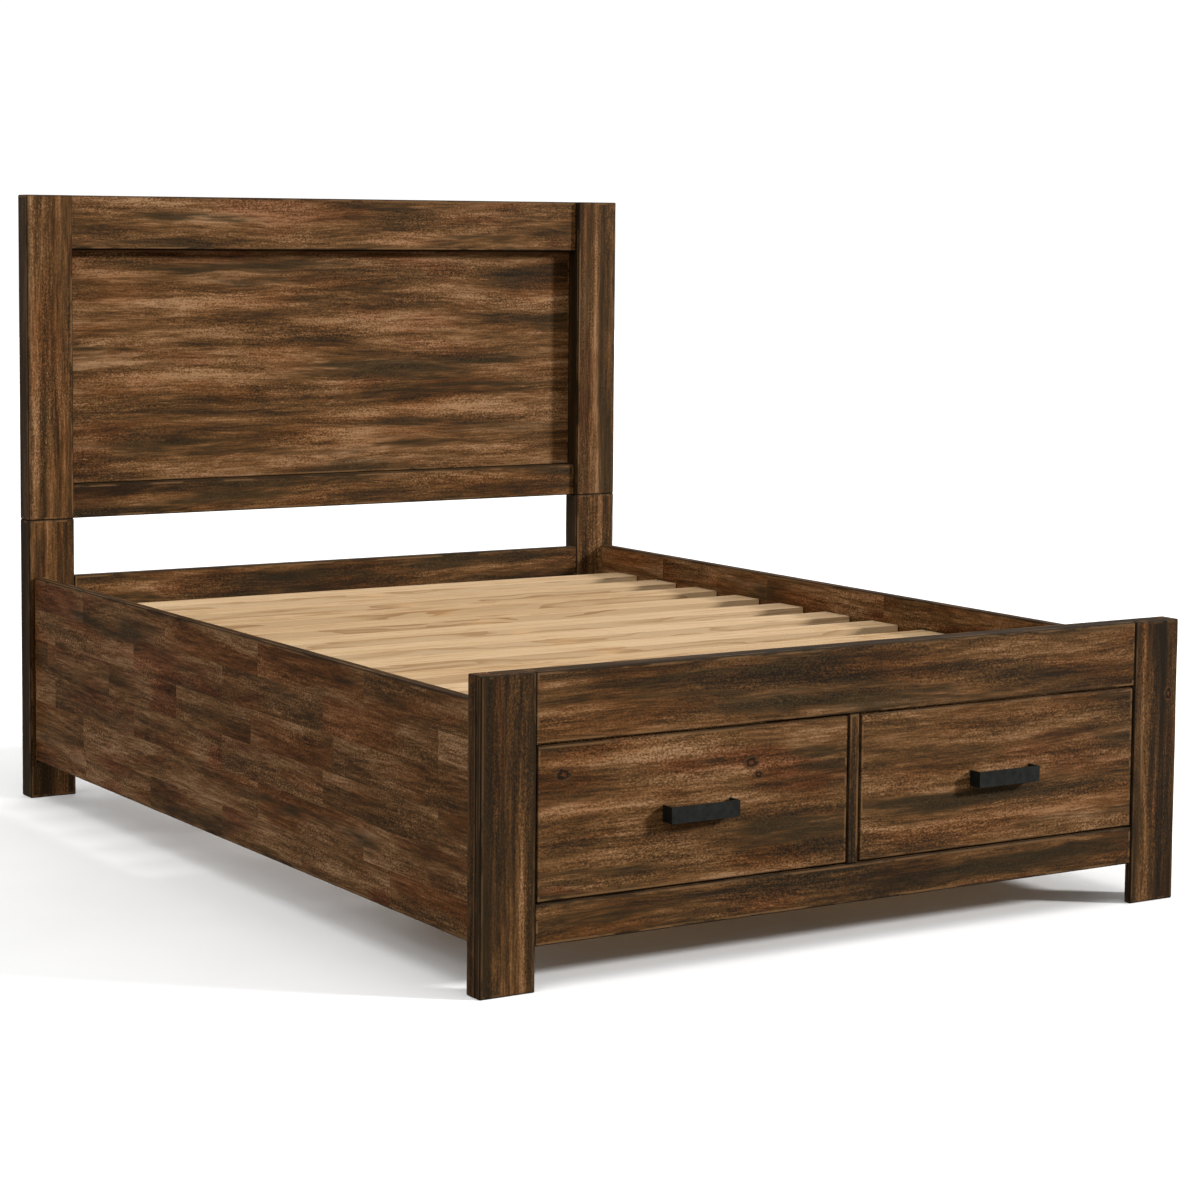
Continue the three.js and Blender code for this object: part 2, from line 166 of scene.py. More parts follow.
class Shader:
    """One material, and short calls that add nodes to it."""

    def __init__(self, name):
        self.material = bpy.data.materials.new(name)
        self.material.use_nodes = True
        self.tree = self.material.node_tree
        self.surface = self.tree.nodes["Principled BSDF"]

    def node(self, kind, inputs=None, **settings):
        made = self.tree.nodes.new("ShaderNode" + kind)
        for name, value in settings.items():
            setattr(made, name, value)
        for socket, value in (inputs or {}).items():
            self.fill(made.inputs[socket], value)
        return made

    def fill(self, socket, value):
        if isinstance(value, bpy.types.NodeSocket):
            self.tree.links.new(value, socket)
        else:
            socket.default_value = value

    def put(self, socket, value):
        self.fill(self.surface.inputs[socket], value)

    def attribute(self, name, output="Vector"):
        return self.node("Attribute", attribute_name=name).outputs[output]

    def object_coordinates(self):
        return self.node("TexCoord").outputs["Object"]

    def math(self, operation, a, b=0.0, clamp=False):
        return self.node("Math", {0: a, 1: b}, operation=operation, use_clamp=clamp).outputs[0]

    def vector(self, operation, a, b=(0, 0, 0)):
        return self.node("VectorMath", {0: a, 1: b}, operation=operation).outputs[0]

    def parts(self, vector):
        return self.node("SeparateXYZ", {0: vector}).outputs

    def joined(self, x, y, z):
        return self.node("CombineXYZ", {0: x, 1: y, 2: z}).outputs[0]

    def noise(self, vector, scale, detail=2.0, roughness=0.5):
        """fBM noise; scale is one number, or one for each axis."""
        if not isinstance(scale, (int, float)):
            vector, scale = self.vector("MULTIPLY", vector, scale), 1.0
        inputs = {"Vector": vector, "Scale": scale, "Detail": detail, "Roughness": roughness}
        return self.node("TexNoise", inputs).outputs[0]

    def swing(self, value, amount):
        """How far a noise is from its middle, 0.5, times an amount."""
        return self.math("MULTIPLY", self.math("SUBTRACT", value, 0.5), amount)

    def smooth(self, value, low, high, to_low=0.0, to_high=1.0):
        inputs = {"Value": value, "From Min": low, "From Max": high, "To Min": to_low, "To Max": to_high}
        return self.node("MapRange", inputs, interpolation_type="SMOOTHSTEP").outputs[0]

    def fade(self, distance, width):
        """1 at no distance, falling to 0 at the width."""
        return self.math("SUBTRACT", 1.0, self.math("DIVIDE", distance, width), clamp=True)

    def ramp(self, value, stops):
        """Colours along a value; stops are pairs of position and colour."""
        made = self.node("ValToRGB", {0: value})
        elements = made.color_ramp.elements
        while len(elements) < len(stops):
            elements.new(0.5)
        for element, (position, tint) in zip(elements, stops):
            element.position = position
            element.color = linear(tint)
        return made.outputs[0]

    def mix(self, factor, a, b, blend="MIX"):
        made = self.node("Mix", data_type="RGBA", blend_type=blend, clamp_factor=True)
        self.fill(made.inputs[0], factor)
        self.fill(made.inputs[6], a)
        self.fill(made.inputs[7], b)
        return made.outputs[2]

    def bump(self, height, distance, strength):
        return self.node("Bump", {"Height": height, "Distance": distance, "Strength": strength}).outputs[0]


# ------------------------------------------------------------------ grain, edges and knots
DRIFT = (1.2, 6, 6)
WAVER = (5, 26, 26)

KNOT_RINGS = [(0.0, (86, 48, 26)), (0.26, (70, 40, 22)), (0.4, (20, 13, 8)),
              (0.66, (24, 16, 10)), (0.86, (84, 54, 30)), (1.0, (52, 34, 20))]
KNOT_STRETCH = 0.72                      # below 1 makes knots longer along the grain
KNOT_ROUGHNESS = 160


def warped_grain(shader, slow, quick):
    """Grain coordinates whose lines wander by slow and waver by quick."""
    grain = shader.attribute("grain")
    drift = shader.swing(shader.noise(grain, DRIFT), slow)
    waver = shader.swing(shader.noise(grain, WAVER), quick)
    shift = shader.math("ADD", drift, waver)
    return shader.vector("ADD", grain, shader.joined(0.0, shift, shift))


def edge_distance(shader):
    """Distance from the nearest edge of the board: the middle one of those to its pairs of faces."""
    away = shader.vector("ABSOLUTE", shader.attribute("place"))
    gap = shader.vector("SUBTRACT", shader.attribute("reach"), away)
    a, b, c = shader.parts(shader.vector("ABSOLUTE", gap))
    low = shader.math("MINIMUM", a, b)
    high = shader.math("MAXIMUM", a, b)
    return shader.math("MAXIMUM", low, shader.math("MINIMUM", high, c))


def add_knots(shader, colour, knots):
    """Small ringed knots; each is along and across from the middle of the board, and a radius."""
    along, across, _ = shader.parts(shader.attribute("place"))
    rough = shader.math("SUBTRACT", shader.noise(shader.attribute("grain"), KNOT_ROUGHNESS), 0.5)
    for u, v, radius in knots:
        du = shader.math("MULTIPLY", shader.math("SUBTRACT", along, u), KNOT_STRETCH)
        dv = shader.math("SUBTRACT", across, v)
        squares = shader.math("ADD", shader.math("MULTIPLY", du, du), shader.math("MULTIPLY", dv, dv))
        distance = shader.math("DIVIDE", shader.math("SQRT", squares), radius)
        ratio = shader.math("ADD", distance, rough)
        cover = shader.smooth(ratio, 0.8, 1.35, 0.95, 0.0)
        colour = shader.mix(cover, colour, shader.ramp(ratio, KNOT_RINGS))
    return colour


# ------------------------------------------------------------------ stained wood
STAIN = [(0.0, (26, 20, 13)), (0.25, (47, 32, 18)), (0.45, (71, 48, 26)), (0.6, (92, 62, 33)),
         (0.76, (115, 82, 52)), (1.0, (150, 116, 84))]
CHARCOAL = [(0.3, (20, 15, 7)), (0.5, (39, 31, 17)), (0.7, (64, 51, 32))]
GOLD_TINT = (158, 112, 40)
RED_TINT = (150, 84, 50)
TINT_STRENGTH = 0.65
# Dark stain along the long edges; on the narrow faces, such as rail tops, it is painted shade.
EDGE_STAIN_AND_SHADE = (35, 26, 14)
# Dark line at every edge: partly stain, partly painted shade of the gaps between parts.
EDGE_STAIN_AND_GAP_SHADE = (24, 18, 12)
# Lightened arris: partly rubbed wear, partly a painted highlight.
WORN_AND_HIGHLIGHT = (128, 94, 60)

FIGURE = (4, 62, 62)
FIGURE_DEPTH = 0.85
FIBRES = (18, 250, 250)
FIBRE_DEPTH = 0.8
PORES = (190, 300, 300)
PORE_DEPTH = 1.6
PORE_PATCHES = (3, 14, 14)
WARM_PATCHES = (2.2, 9, 9)
WEAR_PATCHES = (9, 50, 50)

GLAZE_OFFSET = (3.7, 1.3, 5.1)           # keeps the charcoal apart from the dark streaks
GLAZE_STRETCH = (0.8, 0.75)              # its bands, along and across, as shares of the streaks
GLAZE_BREAK = 0.45                       # how far it breaks up into the pores
GLAZE_COVER = 0.88

STAVE_JUMP = (9.0, 3.0)                  # how far apart the grain of different staves is taken from
STAVE_TONE = 0.05

SPECULAR_TINT = (1.0, 0.78, 0.54, 1.0)


def stained(name, bands, contrast=1.9, glaze=(0.53, 0.64), staves=None, warm=0.5, wander=(0.05, 0.014),
            side_stain_and_shade=0.0, arris=0.5, knots=()):
    """Rustic hardwood under a dark stain. bands is how many streaks there are to a metre, along and
    across the grain; glaze is where black stain starts and is full; staves is the length and height of
    the strips in a board; warm is the strength of golden and red patches; wander is how far the grain
    drifts and wavers; the side stain and shade is how far dark stain spreads in from the long edges, and
    over the narrow faces it is painted shade; arris is how much the very edge is lightened, partly as
    rubbed wear and partly as a painted highlight."""
    shader = Shader(name)
    whole = warped_grain(shader, *wander)
    grain, tone_shift = whole, shader.attribute("tone", "Fac")
    if staves:
        grain, stave_tone = split_staves(shader, whole, staves)
        tone_shift = shader.math("ADD", tone_shift, stave_tone)
    streaks, figure, fibres, pores = stain_noises(shader, grain, bands)
    tone = shader.swing(streaks, contrast)
    for part, amount in ((figure, FIGURE_DEPTH), (fibres, FIBRE_DEPTH), (pores, PORE_DEPTH)):
        tone = shader.math("ADD", tone, shader.swing(part, amount))
    tone = shader.math("ADD", shader.math("ADD", tone, 0.5), tone_shift)
    colour = add_warm_patches(shader, shader.ramp(tone, STAIN), grain, warm)
    colour = add_glaze(shader, colour, whole, bands, glaze, pores)
    # Dark edge stain, with painted shade over the narrow faces.
    if side_stain_and_shade:
        colour = add_side_stain_and_shade(shader, colour, grain, side_stain_and_shade)
    if knots:
        colour = add_knots(shader, colour, knots)
    # Edge line with painted gap shade, and arrises lightened partly as painted highlight.
    shader.put("Base Color", add_edge_wear_shade_and_highlight(shader, colour, arris))
    shader.put("Roughness", shader.smooth(shader.math("ADD", streaks, fibres), 0.7, 1.3, 0.62, 0.46))
    shader.put("Specular IOR Level", 0.1)
    shader.put("Specular Tint", SPECULAR_TINT)
    shader.put("Normal", shader.bump(shader.math("ADD", fibres, pores), 0.0006, 0.8))
    return shader.material


def split_staves(shader, grain, staves):
    """Splits the grain into strips glued edge to edge, and gives each a tone of its own."""
    length, height = staves
    u, v, _ = shader.parts(shader.attribute("place"))
    inputs = {"Vector": shader.joined(u, v, 0.0), "Scale": 1.0, "Mortar Size": 0.0, "Bias": 0.0,
              "Brick Width": length, "Row Height": height, "Color1": (0, 0, 0, 1), "Color2": (1, 1, 1, 1)}
    brick = shader.node("TexBrick", inputs, offset=0.37, offset_frequency=2, squash=0.8, squash_frequency=3)
    pick = shader.node("SeparateColor", {0: brick.outputs["Color"]}).outputs[0]
    along, across = (shader.math("MULTIPLY", pick, jump) for jump in STAVE_JUMP)
    return shader.vector("ADD", grain, shader.joined(along, across, 0.0)), shader.swing(pick, STAVE_TONE)


def stain_noises(shader, grain, bands):
    """Long streaks, wavy figure, fibres, and pores that show more in some patches than in others."""
    along, across = bands
    streaks = shader.noise(grain, (along, across, across), 6, 0.62)
    figure = shader.noise(grain, FIGURE, 4, 0.62)
    fibres = shader.noise(grain, FIBRES, 3, 0.65)
    open_pores = shader.smooth(shader.noise(grain, PORE_PATCHES), 0.35, 0.65, 0.35, 1.0)
    pores = shader.math("ADD", 0.5, shader.swing(shader.noise(grain, PORES, 2, 0.7), open_pores))
    return streaks, figure, fibres, pores


def add_warm_patches(shader, colour, grain, warm):
    """Patches where the stain turns golden, and others where it turns red."""
    patches = shader.noise(grain, WARM_PATCHES, 3)
    gold = shader.smooth(patches, 0.5, 0.66, 0.0, warm)
    red = shader.smooth(patches, 0.46, 0.34, 0.0, warm)
    for amount, tint in ((gold, GOLD_TINT), (red, RED_TINT)):
        colour = shader.mix(amount, colour, shader.mix(TINT_STRENGTH, colour, linear(tint), "OVERLAY"))
    return colour


def add_glaze(shader, colour, grain, bands, glaze, pores):
    """Streaks of charcoal stain that break up into the pores at their ends."""
    along, across = (count * stretch for count, stretch in zip(bands, GLAZE_STRETCH))
    offset = shader.vector("ADD", grain, GLAZE_OFFSET)
    streaks = shader.noise(offset, (along, across, across), 5, 0.6)
    broken = shader.math("ADD", streaks, shader.swing(pores, GLAZE_BREAK))
    amount = shader.smooth(broken, *glaze, 0.0, GLAZE_COVER)
    return shader.mix(amount, colour, shader.ramp(pores, CHARCOAL))


def add_side_stain_and_shade(shader, colour, grain, width):
    """Dark stain that runs along the long edges of a board; over its narrow faces, such as the tops of
    rails, the same colour is painted shade.
    """
    _, across, _ = shader.parts(shader.attribute("place"))
    _, reach, _ = shader.parts(shader.attribute("reach"))
    distance = shader.math("ABSOLUTE", shader.math("SUBTRACT", reach, shader.math("ABSOLUTE", across)))
    uneven = shader.noise(grain, (1.5, 30, 30), 3)
    edge = shader.math("MULTIPLY", width, shader.smooth(uneven, 0.35, 0.65, 0.4, 1.6))
    amount = shader.math("MULTIPLY", shader.fade(distance, edge), 0.8)
    return shader.mix(amount, colour, linear(EDGE_STAIN_AND_SHADE))


def add_edge_wear_shade_and_highlight(shader, colour, arris):
    """A dark line along the edges, partly stain and partly painted shade of the gaps between parts, with
    the very arris lightened here and there, partly as rubbed wear and partly as a painted highlight.
    """
    distance = edge_distance(shader)
    patchy = shader.noise(shader.attribute("grain"), WEAR_PATCHES, 3, 0.6)
    line_width = shader.smooth(patchy, 0.35, 0.65, 0.0045, 0.008)
    # Painted shade: a dark line along every edge, partly stain and partly the shade in the gaps between
    # parts.
    line = shader.math("MULTIPLY", shader.fade(distance, line_width), 0.95)
    colour = shader.mix(line, colour, linear(EDGE_STAIN_AND_GAP_SHADE))
    # Painted highlight: the very arris lightened here and there, partly as rubbed wear.
    inner, outer = shader.smooth(distance, 0.0075, 0.005), shader.smooth(distance, 0.0015, 0.003)
    band = shader.math("MULTIPLY", outer, inner)
    rubbed_and_highlight = shader.math("MULTIPLY", band, shader.smooth(patchy, 0.44, 0.58))
    return shader.mix(shader.math("MULTIPLY", rubbed_and_highlight, arris), colour, linear(WORN_AND_HIGHLIGHT))


# ------------------------------------------------------------------ unstained wood
PINE = [(0.0, (188, 160, 124)), (0.35, (174, 143, 104)), (0.6, (154, 120, 82)), (1.0, (126, 90, 56))]
PALE = [(0.0, (184, 150, 108)), (0.4, (168, 130, 88)), (0.7, (148, 108, 70)), (1.0, (122, 84, 52))]
PINE_KNOT = (112, 70, 38)
# Darker brown along the eased edges.
DARK_EDGE_TINT = (110, 78, 46)
FINE_FIBRES = (20, 600, 600)
RING_COUNT = 7.0                         # growth rings in one swing of the slow noise
RING_DEPTH = 0.45
FINE_FIBRE_DEPTH = 0.25


def clear_wood(name, stops, ring_scale, knots_per_metre):
    """Light unstained wood: growth bands, fine fibres and, in pine, scattered knots."""
    shader = Shader(name)
    grain = warped_grain(shader, 0.06, 0.01)
    rings = shader.noise(grain, (0.8, ring_scale, ring_scale), 3)
    late = shader.smooth(shader.math("FRACT", shader.math("MULTIPLY", rings, RING_COUNT)), 0.45, 1.0)
    fibres = shader.noise(grain, FINE_FIBRES, 3, 0.6)
    late = shader.math("MULTIPLY", late, RING_DEPTH)
    fine = shader.math("MULTIPLY", fibres, FINE_FIBRE_DEPTH)
    tone = shader.math("ADD", shader.math("ADD", late, fine), shader.attribute("tone", "Fac"))
    colour = shader.ramp(tone, stops)
    if knots_per_metre:
        places = shader.vector("MULTIPLY", grain, (knots_per_metre, 9, 9))
        cells = shader.node("TexVoronoi", {"Vector": places, "Scale": 1.0})
        knot = shader.smooth(cells.outputs["Distance"], 0.11, 0.05)
        colour = shader.mix(shader.math("MULTIPLY", knot, 0.75), colour, linear(PINE_KNOT))
    # Darker brown towards the eased edges.
    darker_edge = shader.smooth(edge_distance(shader), 0.004, 0.0, 0.0, 0.28)
    shader.put("Base Color", shader.mix(darker_edge, colour, linear(DARK_EDGE_TINT)))
    shader.put("Roughness", shader.smooth(fibres, 0.3, 0.7, 0.72, 0.58))
    shader.put("Specular IOR Level", 0.18)
    shader.put("Normal", shader.bump(fibres, 0.0003, 0.5))
    return shader.material


# ------------------------------------------------------------------ metal materials
POWDER_COAT = [(0.3, (11, 12, 10)), (0.55, (17, 18, 15)), (0.75, (28, 28, 24))]
ZINC = [(0.3, (150, 152, 156)), (0.55, (186, 187, 188)), (0.75, (205, 200, 186))]


def black_coat():
    """Matt black powder coat with a fine orange peel and a little dust."""
    shader = Shader("black_coat")
    place = shader.object_coordinates()
    peel = shader.noise(place, 900)
    dust = shader.noise(place, 60, 4, 0.6)
    tone = shader.math("ADD", shader.math("MULTIPLY", peel, 0.4), shader.math("MULTIPLY", dust, 0.6))
    shader.put("Base Color", shader.ramp(tone, POWDER_COAT))
    shader.put("Roughness", shader.smooth(dust, 0.3, 0.7, 0.42, 0.6))
    shader.put("Specular IOR Level", 0.2)
    shader.put("Normal", shader.bump(peel, 0.0002, 0.4))
    return shader.material


def zinc_plate():
    """Bright zinc on pressed steel, with drawing marks and a faint yellow cast in places."""
    shader = Shader("zinc_plate")
    place = shader.object_coordinates()
    cloud = shader.noise(place, 28, 4, 0.6)
    marks = shader.noise(place, (900, 14, 900), 3, 0.6)
    shader.put("Base Color", shader.ramp(cloud, ZINC))
    shader.put("Metallic", 1.0)
    shader.put("Roughness", shader.smooth(marks, 0.3, 0.7, 0.28, 0.46))
    shader.put("Normal", shader.bump(marks, 0.00008, 0.5))
    return shader.material


# ------------------------------------------------------------------ boards
EASING = {"stained": 0.0026, "light": 0.0016}      # radius of the eased edges
EDGE_WEAR = {"stained": 0.0006, "light": 0.0002}   # deepest dent along an eased edge
CUT = 0.045                                        # spacing of the cuts along a board
DENT_SCALES = (16, 47)                             # coarse and fine
FLAT = 0.99999                                     # normals this close to an axis are flat faces


def prism(outline, low, high):
    """A closed bmesh: the outline in X and Y, from low to high in Z."""
    mesh = bmesh.new()
    floor = [mesh.verts.new((x, y, low)) for x, y in outline]
    roof = [mesh.verts.new((x, y, high)) for x, y in outline]
    mesh.faces.new(list(reversed(floor)))
    mesh.faces.new(roof)
    for i in range(len(outline)):
        j = (i + 1) % len(outline)
        mesh.faces.new((floor[i], floor[j], roof[j], roof[i]))
    mesh.normal_update()
    return mesh


def rectangle(low, high):
    return [(low.x, low.y), (high.x, low.y), (high.x, high.y), (low.x, high.y)]


def ease_edges(mesh, radius):
    bmesh.ops.bevel(mesh, geom=list(mesh.edges), offset=radius, segments=3, profile=0.5, affect="EDGES")


def cut_across(mesh, axis, low, high):
    """Cuts the board at even steps along its grain, so that its edges can waver."""
    steps = max(2, round((high - low) / CUT))
    normal = Vector((0, 0, 0))
    normal[axis] = 1
    for i in range(1, steps):
        at = Vector((0, 0, 0))
        at[axis] = low + (high - low) * i / steps
        geometry = list(mesh.verts) + list(mesh.edges) + list(mesh.faces)
        bmesh.ops.bisect_plane(mesh, geom=geometry, plane_co=at, plane_no=normal, dist=1e-6)


def flat_normal(vertex):
    """The normal of the flat face that a vertex borders, or None on the rounded edges."""
    for face in vertex.link_faces:
        if max(abs(part) for part in face.normal) > FLAT:
            return face.normal.copy()
    return None


def wear_edges(mesh, depth, seed):
    """Dents the rounded edges by up to depth, and returns a normal for every vertex."""
    mesh.normal_update()
    coarse, fine = DENT_SCALES
    normals = []
    for vertex in mesh.verts:
        flat = flat_normal(vertex)
        if flat is None:
            dent = noise.noise(vertex.co * coarse + Vector((seed, 0, 0)))
            dent += 0.5 * noise.noise(vertex.co * fine)
            vertex.co -= vertex.normal * depth * min(1.0, max(0.0, 0.45 + dent))
        normals.append(flat or vertex.normal.copy())
    return normals


def write_grain(data, middle, reach, order, offset, tone):
    """Stores grain coordinates, place and half size, all along, across and through the board."""
    places = [[vertex.co[axis] - middle[axis] for axis in order] for vertex in data.vertices]
    half = [reach[axis] for axis in order]
    vectors = {
        "grain": [a + b for place in places for a, b in zip(place, offset)],
        "place": [a for place in places for a in place],
        "reach": half * len(places),
    }
    for name, values in vectors.items():
        data.attributes.new(name, "FLOAT_VECTOR", "POINT")
        data.attributes[name].data.foreach_set("vector", values)
    data.attributes.new("tone", "FLOAT", "POINT")
    data.attributes["tone"].data.foreach_set("value", [tone] * len(places))


def add_object(name, data, material, body):
    made = bpy.data.objects.new(name, data)
    bpy.context.scene.collection.objects.link(made)
    data.materials.append(material)
    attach(made, body)
    return made


def board(node, order, material, tone=0.0, outline=None, reach=None, easing="stained"):
    """A board in place of a CAD node. order is the axes along, across and through its grain; reach is
    half its visible size, where the outline has laps that lie behind other boards."""
    low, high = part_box(node)
    middle, half = (low + high) / 2, (high - low) / 2
    mesh = prism(outline or rectangle(low, high), low.z, high.z)
    ease_edges(mesh, EASING[easing])
    cut_across(mesh, order[0], low[order[0]], high[order[0]])
    normals = wear_edges(mesh, EDGE_WEAR[easing], rng.uniform(0, 90))
    data = bpy.data.meshes.new(node)
    mesh.to_mesh(data)
    mesh.free()
    data.polygons.foreach_set("use_smooth", [True] * len(data.polygons))
    data.normals_split_custom_set_from_vertices(normals)
    offset = [rng.uniform(0, 40), rng.uniform(0, 9), rng.uniform(0, 9)]
    write_grain(data, middle, reach or half, order, offset, tone)
    piece = add_object(node + "_board", data, material, BODY_OF[node])
    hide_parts(node)


def lapped_outline(node):
    """Plan of a footboard rail: full depth between the legs, and thinner laps behind them."""
    low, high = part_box(node)
    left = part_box("foot_leg_face_left")[1]
    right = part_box("foot_leg_face_right")[0]
    lap = left.y
    return [(left.x, low.y), (right.x, low.y), (right.x, lap), (high.x, lap),
            (high.x, high.y), (low.x, high.y), (low.x, lap), (left.x, lap)]


# ------------------------------------------------------------------ assemblies of boards
POST_LOOK = {"bands": (0.5, 16), "contrast": 2.8, "glaze": (0.56, 0.68), "wander": (0.02, 0.006),
             "side_stain_and_shade": 0.014}
LEG_LOOK = {"bands": (0.5, 13), "contrast": 3.0, "glaze": (0.59, 0.72), "wander": (0.02, 0.006),
            "side_stain_and_shade": 0.02, "arris": 0.25}
LEG_SIDE_LOOK = {**LEG_LOOK, "contrast": 2.0, "side_stain_and_shade": 0.004}
FOOT_RAIL_LOOK = {"bands": (1.8, 20), "contrast": 1.7, "glaze": (0.55, 0.67), "side_stain_and_shade": 0.006}
SIDE_RAIL_LOOK = {"bands": (2.4, 15), "contrast": 1.2, "glaze": (0.57, 0.7), "staves": (0.46, 0.0733),
                  "warm": 0.8, "side_stain_and_shade": 0.006}
FRONT_LOOK = {
    "left": {"bands": (2.0, 19), "contrast": 1.7, "glaze": (0.535, 0.62), "warm": 0.75,
             "knots": ((-0.291, 0.086, 0.013), (0.121, 0.072, 0.012), (0.138, 0.048, 0.008))},
    "right": {"bands": (2.0, 19), "contrast": 1.6, "glaze": (0.56, 0.66), "warm": 0.5},
}
LEG_KNOTS = ((0.137, 0.034, 0.011),)
TONES = {                                # lighter above 0, darker below
    # head_leg is darker partly as its own board tone and partly as painted shade.
    "post_left": 0.1, "post_right": 0.0, "head_leg": -0.12, "head_top_rail": 0.13, "head_cross_rail": -0.1,
    "head_panel": 0.1, "foot_leg_left": -0.08, "foot_leg_right": -0.24, "foot_leg_side": 0.12,
    "foot_top_rail": -0.04, "foot_bottom_rail": -0.08, "side_rail": 0.1, "partition": -0.24,
    "drawer_front": 0.05, "drawer_bottom": 0.06,
}
SLAT_TONE_SPREAD = 0.12


def build_headboard():
    posts = stained("post_wood", **POST_LOOK)
    rails = stained("rail_wood", (2.0, 19), side_stain_and_shade=0.006)
    panel = stained("panel_wood", (2.0, 22))
    for side in SIDES:
        board(f"headboard_post_{side}", (Z, X, Y), posts, tone=TONES[f"post_{side}"])
        board(f"headboard_leg_{side}", (Z, X, Y), posts, tone=TONES["head_leg"])
    board("headboard_top_rail", (X, Z, Y), rails, tone=TONES["head_top_rail"])
    board("headboard_bottom_rail", (X, Z, Y), rails)
    board("head_cross_rail", (X, Z, Y), rails, tone=TONES["head_cross_rail"])
    board("headboard_panel", (X, Z, Y), panel, tone=TONES["head_panel"])


def build_footboard():
    faces = {"left": stained("leg_wood", **LEG_LOOK),
             "right": stained("knotted_leg_wood", knots=LEG_KNOTS, **LEG_LOOK)}
    leg_sides = stained("leg_side_wood", **LEG_SIDE_LOOK)
    rails = stained("foot_rail_wood", **FOOT_RAIL_LOOK)
    for side in SIDES:
        board(f"foot_leg_face_{side}", (Z, X, Y), faces[side], tone=TONES[f"foot_leg_{side}"])
        board(f"foot_leg_side_{side}", (Z, Y, X), leg_sides, tone=TONES["foot_leg_side"])
    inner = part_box("foot_leg_face_right")[0].x
    for rail in ("foot_top_rail", "foot_bottom_rail"):
        low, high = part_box(rail)
        half = (high - low) / 2
        board(rail, (X, Z, Y), rails, tone=TONES[rail], outline=lapped_outline(rail),
              reach=(inner, half.y, half.z))


def build_sides():
    rail = stained("side_wood", **SIDE_RAIL_LOOK)
    ledger = clear_wood("ledger_wood", PINE, 26, 1.5)
    for side in SIDES:
        board(f"side_rail_{side}", (Y, Z, X), rail, tone=TONES["side_rail"])
        board(f"slat_ledger_{side}", (Y, Z, X), ledger, easing="light")


def build_deck():
    wood = clear_wood("slat_wood", PINE, 30, 1.7)
    for node in SLATS:
        tone = rng.uniform(-SLAT_TONE_SPREAD, SLAT_TONE_SPREAD)
        board(node, (X, Y, Z), wood, tone=tone, easing="light")
    board("centre_beam", (Y, Z, X), wood, easing="light")
    for node in ("centre_beam_leg_1", "centre_beam_leg_2"):
        board(node, (Z, X, Y), wood, easing="light")


def build_case():
    wood = clear_wood("case_wood", PALE, 20, 0)
    stile = stained("stile_wood", (1.2, 44), contrast=1.5)
    board("centre_partition", (Z, X, Y), stile, tone=TONES["partition"])
    board("case_rear_rail", (X, Z, Y), wood, easing="light")
    for side in SIDES:
        board(f"case_side_{side}", (Y, Z, X), wood, easing="light")


def build_drawers():
    fronts = {side: stained(f"{side}_front_wood", **FRONT_LOOK[side]) for side in SIDES}
    box = clear_wood("box_wood", PALE, 20, 0)
    for side in SIDES:
        board(f"drawer_front_{side}", (X, Z, Y), fronts[side], tone=TONES["drawer_front"])
        board(f"drawer_back_{side}", (X, Z, Y), box, easing="light")
        board(f"drawer_bottom_{side}", (X, Y, Z), box, tone=TONES["drawer_bottom"], easing="light")
        for hand in ("inner", "outer"):
            board(f"drawer_side_{side}_{hand}", (Y, Z, X), box, easing="light")


# ------------------------------------------------------------------ metal pieces
HANDLE_EASING = 0.0009
BRACKET_EASING = 0.0006
SLIDE_EASING = 0.00025


def refine(node, material, width):
    """A CAD node whose shape is right: rounds its edges and gives it a finish."""
    piece = frame["nodes"][node]
    piece.data.materials.clear()
    piece.data.materials.append(material)
    bevel = piece.modifiers.new("eased", "BEVEL")
    bevel.width = width
    bevel.segments = 3
    bevel.limit_method = "ANGLE"
    bevel.harden_normals = True


def build_metal():
    coat, zinc = black_coat(), zinc_plate()
    for node, slot in SLOT_OF.items():
        if slot == "black_metal":
            refine(node, coat, HANDLE_EASING)
        elif "bracket" in node:
            refine(node, zinc, BRACKET_EASING)
        elif slot == "zinc_steel":
            refine(node, zinc, SLIDE_EASING)
    build_fasteners(zinc)


# ------------------------------------------------------------------ fasteners
CROSS, HEX = "cross", "hex"
ROUND_STEPS = 32
ANGLES = [2 * math.pi * i / ROUND_STEPS for i in range(ROUND_STEPS)]
HEAD_PROFILE = ((1.0, 0.35), (0.86, 0.85), (0.68, 1.0))   # shares of radius and height, outside to top
HEAD_SINK = 0.0002                       # the closed back lies this far under the surface
RECESS_RADIUS = 0.55                     # share of the head's radius
RECESS_FLOOR = 0.3                       # share of the head's height
CROSS_ARM = 0.22                         # half width of an arm, as a share of its length

SLAT_SCREW = {"radius": 0.0042, "height": 0.0008, "kind": CROSS}
BRACKET_BOLT = {"radius": 0.0075, "height": 0.0045, "kind": HEX}
HANDLE_SCREW = {"radius": 0.0045, "height": 0.0024, "kind": CROSS}

SLAT_SCREW_INSET = 0.012                 # from the end of a slat
SLAT_SCREW_SPREAD = 0.026                # to both sides of its middle
HANDLE_SCREW_INSET = 0.002               # the middle of the strap's leg
BRACKET_SHEET = 0.003
RAIL_BOLT_INSET = 0.028                  # from the free edge of a bracket's leaf on the side rail
LEG_BOLT_INSET = 0.02                    # from the free edge of its leaf on the leg
BOLT_END_INSET = 0.045                   # from the top and bottom of a bracket


def socket_radius(kind, angle, size):
    """Distance to the outline of a cross or hex recess, at an angle."""
    if kind == HEX:
        return size * math.cos(math.pi / 6) / math.cos(angle % (math.pi / 3) - math.pi / 6)
    turn = angle % (math.pi / 2)
    arm = min(abs(math.cos(turn)), abs(math.sin(turn)))
    return min(size, CROSS_ARM * size / max(arm, 0.01))


